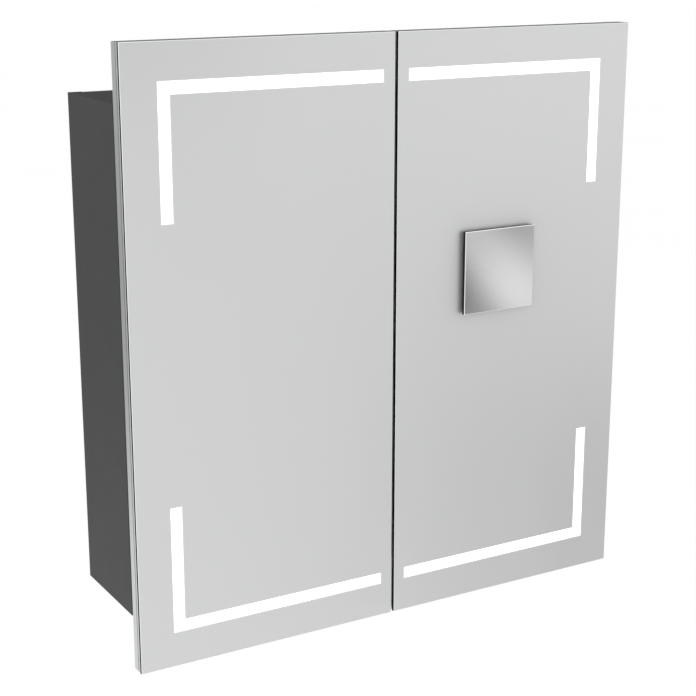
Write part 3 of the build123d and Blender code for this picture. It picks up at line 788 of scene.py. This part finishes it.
@dataclass
class Door:
    """One mirror door: glass, tape, frame, light windows and fittings."""

    side: Side
    window_width: float = 0.014
    window_lip: float = 0.003
    window_play: float = 0.0001
    window_round: float = 0.0003
    arris: float = 0.0005
    slot_ease: float = 0.00025
    lamp_board: float = 0.0016
    tape: Rubber = Rubber("tape_foam", (0.006, 0.007, 0.007), 0.0004, 0.00008)
    stile: BrushedMetal = BrushedMetal("frame_upright", (0.60, 0.62, 0.61), Grain.UPRIGHT)
    rail: BrushedMetal = BrushedMetal("frame_level", (0.60, 0.62, 0.61), Grain.LEVEL)

    @property
    def body(self) -> str:
        """Name of the body that the door's pieces ride on."""
        return self.node("door")

    def node(self, name: str) -> str:
        """Full name of one of this door's nodes."""
        return f"{self.side.value}_{name}"

    def window(self, level: Level) -> Elbow:
        """Outline of a light window's slot in the glass."""
        low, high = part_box(self.node(f"window_{level.name.lower()}"))
        lip = self.window_lip
        along = (low.x + lip, high.x - lip)[:: -self.side.outward]
        up = (low.z + lip, high.z - lip)[:: -level.value]
        return Elbow((along[0], up[0]), (along[1], up[1]), self.window_width)

    def build_glass(self) -> bpy.types.Object:
        """Mirror glass: slots for the lights, a bevelled arris, and edges as they are ground."""
        low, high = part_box(self.node("glass"))
        slots = [self.window(level) for level in Level]
        pane = Shape().sheet(low, high)
        for slot in slots:
            pane.slice(0, slot.lines(0)).slice(2, slot.lines(1))
        pane.drop(lambda middle: any(slot.holds(middle) for slot in slots)).thicken(high.y - low.y)

        def in_front(edge: bmesh.types.BMEdge) -> bool:
            """Whether an edge is a sharp one of the front face."""
            return corner_edge(edge) and at_depth(edge, low.y)

        def on_rim(edge: bmesh.types.BMEdge) -> bool:
            """Whether an edge is on the pane's outline."""
            middle = (edge.verts[0].co + edge.verts[1].co) / 2
            return min(abs(middle.x - low.x), abs(middle.x - high.x),
                       abs(middle.z - low.z), abs(middle.z - high.z)) < SAME_PLACE

        pane.bevel(self.slot_ease, lambda edge: in_front(edge) and not on_rim(edge), 1)
        pane.bevel(self.arris, lambda edge: in_front(edge) and on_rim(edge), 2)

        def surface(face: bmesh.types.BMFace) -> int:
            """Mirror in front, paint behind, ground sides, and bright arrises between."""
            if facing(face.normal, 1, -1):
                return 0
            if facing(face.normal, 1, 1):
                return 1
            return 2 if abs(face.normal.y) < 0.05 else 3

        finishes = (SilveredMirror("door_mirror", (0.596, 0.602, 0.599), 0.45, 0.75, 1.0),
                    RearPaint("mirror_rear"),
                    GlassEdge("glass_edge", low.y, high.y - low.y), GroundArris("ground_arris"))
        piece = pane.paint(surface).piece(self.node("mirror_glass"), finishes, GLASS_CREASE)
        return settle(piece, self.body, "door_mirror", self.node("glass"))

    def build_lens(self, level: Level) -> bpy.types.Object:
        """Opal lens: its face in the slot, and its lip behind the glass."""
        name = self.node(f"window_{level.name.lower()}")
        low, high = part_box(name)
        glass_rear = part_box(self.node("glass"))[1].y
        slot = self.window(level)
        lens = slot.grown(-self.window_play).slab(low.y, glass_rear)
        lens.bevel(self.window_round, lambda edge: corner_edge(edge) and at_depth(edge, low.y))
        lens.join(slot.grown(self.window_lip).slab(glass_rear, high.y))
        piece = lens.piece(self.node(f"light_lens_{level.name.lower()}"), (LitOpal("lit_opal"),))
        return settle(piece, self.body, "light_window", name)

    def dress(self) -> None:
        """Finish the door's other nodes."""
        board_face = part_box(self.node("led_boards"))[1].y - self.lamp_board
        dress({
            self.node("mounting_tape"): self.tape,
            self.node("frame_stiles"): self.stile,
            self.node("frame_rails"): self.rail,
            self.node("door_back"): SilveredMirror("inner_mirror", (0.66, 0.668, 0.664), 0.03),
            self.node("led_boards"): CircuitBoard("lamp_board", (0.78, 0.79, 0.78), (0.85, 0.72, 0.25),
                                                  "Y", board_face, -1),
            self.node("hinge_housings"): PlatedSteel("hinge_steel", (0.58, 0.59, 0.60)),
            self.node("hinge_pins"): PlatedSteel("pin_steel", (0.66, 0.66, 0.67), 0.12),
            self.node("lead_bush"): Rubber("bush_rubber", (0.022, 0.022, 0.023)),
            self.node("buffers"): MouldedPlastic("silicone", (0.72, 0.73, 0.73), 0.35),
        })


def dress(finishes: Mapping[str, Finish]) -> None:
    """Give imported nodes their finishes."""
    for name, finish in finishes.items():
        thing = bpy.data.objects[name]
        if not thing.material_slots:
            thing.data.materials.append(None)
        for place in thing.material_slots:
            place.material = finish.material()
        LOG.info("%s: %s", name, finish.name)


@dataclass
class Screws:
    """A group of like screws with a cross recess."""

    node: str
    slot: str
    body: str
    heading: Callable[[Vector], Vector]
    shank: float = 0.0017
    head_height: float = 0.0018
    crown: float = 0.0007
    recess_width: float = 0.0009
    recess_depth: float = 0.0011
    pitch: float = 0.0011
    thread: float = 0.00025

    def one(self, radius: float, length: float) -> Shape:
        """A screw that points down from its seat at the origin."""
        rim = self.head_height - self.crown
        profile = [(0.0, -length), (self.shank * 0.55, -length + self.shank)]
        turns = max(2, int((length - self.shank) / self.pitch))
        step = (length - self.shank) / turns
        for turn in range(turns):
            base = -length + self.shank + turn * step
            profile += [(self.shank - self.thread, base + 0.25 * step), (self.shank, base + 0.6 * step)]
        profile += [(self.shank, 0.0), (radius, 0.0), (radius, rim * 0.5), (radius * 0.93, rim),
                    (radius * 0.6, rim + self.crown * 0.75), (0.0, self.head_height)]
        screw = Shape().lathe(profile, 28)
        reach = radius * 0.58
        half = self.recess_width / 2
        bottom = self.head_height - self.recess_depth
        for across in ((reach, half), (half, reach)):
            screw.carve(Shape().block((-across[0], -across[1], bottom), (*across, self.head_height * 2)))
        return screw

    def build(self) -> bpy.types.Object:
        """Every screw of the node, each where its solid is."""
        group = Shape()
        for low, high in loose_parts(bpy.data.objects[self.node]):
            middle = (low + high) / 2
            way = self.heading(middle)
            size = high - low
            axis = max(range(3), key=lambda pick: abs(way[pick]))
            radius = max(size[pick] for pick in range(3) if pick != axis) / 2
            seat = middle + way * (size[axis] / 2 - self.head_height)
            turn = Vector((0.0, 0.0, 1.0)).rotation_difference(way).to_matrix().to_4x4()
            twist = Matrix.Rotation(middle.z * 40.0, 4, "Z")
            screw = self.one(radius, size[axis] - self.head_height)
            group.join(screw.turn(Matrix.Translation(seat) @ turn @ twist))
            screw.mesh.free()
        piece = group.piece(f"{self.node}_turned", (PlatedSteel("screw_zinc", (0.60, 0.61, 0.62), 0.2),))
        return settle(piece, self.body, self.slot, self.node)


@dataclass
class Shelves:
    """Glass shelves on their pegs."""

    names: tuple[str, ...] = ("shelf_upper", "shelf_lower")
    ease: float = 0.0006

    def build(self) -> None:
        """Each shelf: a clear slab with eased, greener edges."""
        for name in self.names:
            low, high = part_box(name)
            slab = Shape().block(low, high).bevel(self.ease, corner_edge, 2)
            slab.paint(lambda face: 0 if abs(face.normal.z) > 0.98 else 1)
            finishes = (ClearGlass("shelf_glass", (0.93, 0.985, 0.965), 1.0),
                        ClearGlass("shelf_edge", (0.50, 0.78, 0.70), 0.75, 0.08))
            settle(slab.piece(f"{name}_glass", finishes, GLASS_CREASE), "cabinet", "shelf_glass", name)

    def dress(self) -> None:
        """Finish the pegs."""
        dress({"shelf_pegs": PlatedSteel("peg_nickel", (0.68, 0.67, 0.65), 0.16)})


@dataclass
class Carcass:
    """Board body, back panel, rails and cam fittings."""

    foil: Colour = (0.038, 0.0385, 0.039)
    band: float = 0.0008

    def dress(self) -> None:
        """Finish the boards and the fittings."""
        low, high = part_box("side_panel_left")
        sides = SatinFoil("body_foil_side", self.foil, (low.y + self.band, high.y - self.band))
        end_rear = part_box("top_panel")[1].y
        ends = SatinFoil("body_foil_end", self.foil, (low.y + self.band, end_rear - self.band))
        pale = SatinFoil("back_foil", (0.60, 0.61, 0.615))
        dress({
            "side_panel_left": sides, "side_panel_right": sides,
            "top_panel": ends, "bottom_panel": ends,
            "back_panel": pale, "upper_rail": pale, "lower_rail": pale,
            "cam_locks": PlatedSteel("cam_zinc", (0.50, 0.51, 0.52), 0.36),
            "cam_pins": PlatedSteel("cam_zinc", (0.50, 0.51, 0.52), 0.36),
        })


@dataclass
class ElectricsBay:
    """Sheet-metal bay under the top panel, with the socket, switch, driver and terminals."""

    button_dish: float = 0.0008
    dish_share: float = 0.72
    button_round: float = 0.0012
    driver_board: float = 0.0016
    cap_crease: float = 40.0

    def build_button(self) -> bpy.types.Object:
        """Button cap: a round, slightly hollow face with a rounded rim."""
        low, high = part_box("light_button")
        radius = (high.x - low.x) / 2
        depth = high.y - low.y
        steps = 5
        profile = [(0.0, -depth), (radius, -depth)]
        for step in range(steps + 1):
            turn = math.radians(90.0 * step / steps)
            profile.append((radius - self.button_round * (1 - math.cos(turn)),
                            self.button_round * (math.sin(turn) - 1)))
        dish_radius = radius * self.dish_share
        for step in range(steps + 1):
            turn = math.radians(90.0 * step / steps)
            profile.append((dish_radius * math.cos(turn), -self.button_dish * math.sin(turn)))
        turn = Vector((0.0, 0.0, 1.0)).rotation_difference(Vector((0.0, -1.0, 0.0))).to_matrix().to_4x4()
        centre = Vector(((low.x + high.x) / 2, low.y, (low.z + high.z) / 2))
        cap = Shape().lathe(profile, 48).turn(Matrix.Translation(centre) @ turn)
        plastic = MouldedPlastic("button_plastic", (0.80, 0.80, 0.785), 0.22)
        piece = cap.piece("light_button_cap", (plastic,), self.cap_crease)
        return settle(piece, "light_button", "button_cap", "light_button")

    def dress(self) -> None:
        """Finish the bay's nodes."""
        sheet = BrushedMetal("bay_sheet", (0.62, 0.63, 0.64), Grain.LEVEL, 0.38)
        white = MouldedPlastic("white_plastic", (0.78, 0.78, 0.765), 0.26)
        board_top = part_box("driver_board")[0].z + self.driver_board
        dress({
            "bay_front": sheet, "bay_floor": sheet,
            "bay_grommets": Rubber("grommet_rubber", (0.02, 0.02, 0.021)),
            "mains_grommet": Rubber("grommet_rubber", (0.02, 0.02, 0.021)),
            "shaver_socket": white, "button_housing": white,
            "driver_case": MouldedPlastic("driver_plastic", (0.70, 0.70, 0.68), 0.5, 0.0011, 0.00006),
            "driver_lid": MouldedPlastic("driver_plastic", (0.70, 0.70, 0.68), 0.5, 0.0011, 0.00006),
            "driver_board": CircuitBoard("driver_circuit", (0.02, 0.12, 0.05), (0.05, 0.055, 0.07),
                                         "Z", board_top, 1),
            "terminal_block": MouldedPlastic("terminal_plastic", (0.76, 0.75, 0.70), 0.35),
        })


@dataclass
class Hinges:
    """Arms and mounting plates of the concealed hinges."""

    steel: PlatedSteel = PlatedSteel("hinge_steel", (0.58, 0.59, 0.60))

    def dress(self) -> None:
        """Finish the arms and plates on both sides."""
        dress({f"{side.value}_hinge_{part}": self.steel for side in Side for part in ("arms", "plates")})


@dataclass
class VanityMirror:
    """Small square mirror with a black tray, held by magnets."""

    bevel: float = 0.0006
    rear_round: float = 0.0008
    side_round: float = 0.0004

    def build_glass(self) -> bpy.types.Object:
        """Bevelled glass in front of the tray."""
        low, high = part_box("vanity_glass")
        pane = Shape().block(low, high)
        pane.bevel(self.bevel, lambda edge: at_depth(edge, low.y), 1)
        pane.paint(lambda face: 0 if facing(face.normal, 1, -1) else 1 if abs(face.normal.y) < 0.05 else 2)
        finishes = (SilveredMirror("vanity_mirror", (0.73, 0.735, 0.732), 0.04),
                    MouldedPlastic("vanity_edge", (0.010, 0.011, 0.011), 0.3, gloss=0.06),
                    GroundArris("vanity_bevel"))
        piece = pane.piece("vanity_pane", finishes, GLASS_CREASE)
        return settle(piece, "vanity_mirror", "vanity_mirror_glass", "vanity_glass")

    def build_tray(self) -> bpy.types.Object:
        """Black tray with soft rear edges and corners."""
        low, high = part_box("vanity_backing")
        tray = Shape().block(low, high)
        tray.bevel(self.side_round, lambda edge: abs(edge.verts[0].co.y - edge.verts[1].co.y) > SAME_PLACE)
        tray.bevel(self.rear_round, lambda edge: corner_edge(edge) and at_depth(edge, high.y), 3)
        black = MouldedPlastic("tray_black", (0.010, 0.011, 0.012), 0.3, gloss=0.06)
        piece = tray.piece("vanity_tray", (black,))
        return settle(piece, "vanity_mirror", "vanity_tray", "vanity_backing")

    def dress(self) -> None:
        """Finish the magnets, the pad and the steel plate in the door."""
        dress({
            "vanity_magnets": PlatedSteel("magnet_nickel", (0.66, 0.66, 0.65), 0.1),
            "vanity_pad": Felt("black_felt"),
            "magnet_plate": PlatedSteel("plate_zinc", (0.44, 0.45, 0.46), 0.4),
        })


# ---- Studio ----
@dataclass(frozen=True)
class Card:
    """A soft-edged grey card that shows only in reflections."""

    name: str
    middle: Colour
    size: Span
    brightness: float
    cover: float = 1.0
    aim: Colour = (0.0, -0.1, 0.0)

    def veil(self, graph: Graph) -> Signal:
        """Share of the view that the card covers, fading out from its middle."""
        fades = [1.0 - abs(graph.axis(axis)).ramp(0.15, 0.5) for axis in ("X", "Y")]
        return fades[0] * fades[1] * self.cover

    def build(self) -> bpy.types.Object:
        """Stand the card up, facing what it aims at."""
        graph = Graph(self.name)
        light = graph.signal("ShaderNodeEmission", inputs={"Color": (*[self.brightness] * 3, 1.0)})
        clear = graph.signal("ShaderNodeBsdfTransparent")
        blend = graph.signal("ShaderNodeMixShader", inputs={0: self.veil(graph), 1: clear, 2: light})
        shape = Shape()
        bmesh.ops.create_grid(shape.mesh, x_segments=1, y_segments=1, size=0.5)
        card = shape.piece(self.name, ())
        card.data.materials.append(graph.finish(blend))
        way = Vector(self.aim) - Vector(self.middle)
        turn = way.to_track_quat("Z", "Y").to_matrix().to_4x4()
        card.matrix_world = Matrix.Translation(self.middle) @ turn @ Matrix.Diagonal((*self.size, 1.0, 1.0))
        card.visible_camera = card.visible_diffuse = card.visible_shadow = False
        card.visible_transmission = False
        return card


@dataclass(frozen=True)
class SlantCard(Card):
    """A card that leaves a clear band from one corner to the other, and is darker beside it."""

    low_corner: float = 0.54
    high_corner: float = 0.34
    near_corner: float = 0.27
    base: float = 0.03

    def veil(self, graph: Graph) -> Signal:
        """Cover that grows towards three of the corners."""
        across, up = graph.axis("X"), graph.axis("Y")
        slant = across - up
        dark = self.base + self.near_corner * (across + up).ramp(-0.4, 0.6)
        dark = dark + self.low_corner * slant.ramp(0.05, 0.62)
        dark = dark + self.high_corner * (0.0 - slant).ramp(0.05, 0.62)
        fades = [1.0 - abs(place).ramp(0.34, 0.5) for place in (across, up)]
        return fades[0] * fades[1] * dark


@dataclass(frozen=True)
class SoftLamp:
    """A square lamp that looks at the cabinet and doesn't mirror in it."""

    name: str
    place: Colour
    size: float
    power: float

    def hang(self) -> None:
        """Hang the lamp in its place."""
        data = bpy.data.lights.new(self.name, "AREA")
        data.shape = "SQUARE"
        data.size = self.size
        data.energy = self.power
        lamp = bpy.data.objects.new(self.name, data)
        lamp.location = self.place
        lamp.rotation_euler = (-Vector(self.place)).to_track_quat("-Z", "Y").to_euler()
        lamp.visible_glossy = False
        bpy.context.scene.collection.objects.link(lamp)


@dataclass
class Studio:
    """Camera, pale floor, soft lights and reflection cards."""

    eye: Colour = (-0.9289, -1.6431, 0.4637)
    down: float = 15.13
    aside: float = 30.154
    lens: float = 80.31
    sensor: float = 36.0
    far: float = 200.0
    shift: Span = (0.0003, -0.0041)
    floor_drop: float = 1.6
    floor_radius: float = 40.0
    sky: float = 1.15
    lamps: tuple[SoftLamp, ...] = (
        SoftLamp("key", (-1.4, -1.8, 1.7), 1.2, 14.0),
        SoftLamp("fill", (1.8, -1.6, 0.9), 1.6, 6.0),
    )
    cards: tuple[Card, ...] = (
        Card("flag_behind", (-0.90, 1.25, -0.15), (1.7, 1.5), 0.25, 0.75),
        Card("dark_above_wall", (0.6, 1.25, 0.75), (5.0, 2.4), 0.02, 0.97),
        Card("shade_low_right", (2.1, -1.8, -1.45), (2.8, 1.9), 0.0, 0.85),
        Card("shade_high_left", (0.15, -1.8, 0.45), (1.3, 1.1), 0.0, 0.55),
        SlantCard("slant_right", (0.3875, -0.5, -0.0255), (0.151, 0.182), 0.05,
                  aim=(0.1426, -0.161, 0.0656)),
    )

    def camera(self) -> None:
        """Place the camera."""
        data = bpy.data.cameras.new("camera")
        data.lens = self.lens
        data.sensor_width = self.sensor
        data.shift_x, data.shift_y = self.shift
        data.clip_end = self.far
        camera = bpy.data.objects.new("camera", data)
        camera.location = self.eye
        camera.rotation_euler = (math.radians(90.0 - self.down), 0.0, math.radians(-self.aside))
        bpy.context.scene.collection.objects.link(camera)
        bpy.context.scene.camera = camera

    def floor(self) -> None:
        """Lay the floor well below the hanging cabinet."""
        shape = Shape()
        bmesh.ops.create_circle(shape.mesh, cap_ends=True, segments=96, radius=self.floor_radius,
                                matrix=Matrix.Translation((0.0, 0.0, -self.floor_drop)))
        shape.piece("floor", (StudioPaint("floor_paint"),))

    def build(self) -> None:
        """Set up the whole studio."""
        world = bpy.data.worlds.new("studio")
        world.use_nodes = True
        background = world.node_tree.nodes["Background"]
        background.inputs["Color"].default_value = (self.sky, self.sky, self.sky, 1.0)
        bpy.context.scene.world = world
        bpy.context.scene.view_settings.view_transform = "Standard"
        self.camera()
        self.floor()
        for lamp in self.lamps:
            lamp.hang()
        for card in self.cards:
            card.build()


def main() -> None:
    """Build the cabinet's surfaces in order, then the studio round it."""
    logging.basicConfig(level=logging.INFO, format="%(message)s")
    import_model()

    Carcass().dress()
    shelves = Shelves()
    shelves.build()
    shelves.dress()
    bay = ElectricsBay()
    bay.build_button()
    bay.dress()
    Hinges().dress()
    Screws("hinge_screws", "screw_steel", "cabinet",
           lambda middle: Vector((-math.copysign(1.0, middle.x), 0.0, 0.0))).build()
    Screws("bay_screws", "screw_steel", "cabinet", lambda middle: Vector((0.0, -1.0, 0.0))).build()
    for side in Side:
        door = Door(side)
        door.build_glass()
        for level in Level:
            door.build_lens(level)
        door.dress()
        Screws(door.node("housing_screws"), "screw_steel", door.body, lambda middle: Vector((0.0, 1.0, 0.0)),
               head_height=0.0006, crown=0.0003, recess_depth=0.00045).build()
    vanity = VanityMirror()
    vanity.build_glass()
    vanity.build_tray()
    vanity.dress()

    Studio().build()


if __name__ == "__main__":
    main()
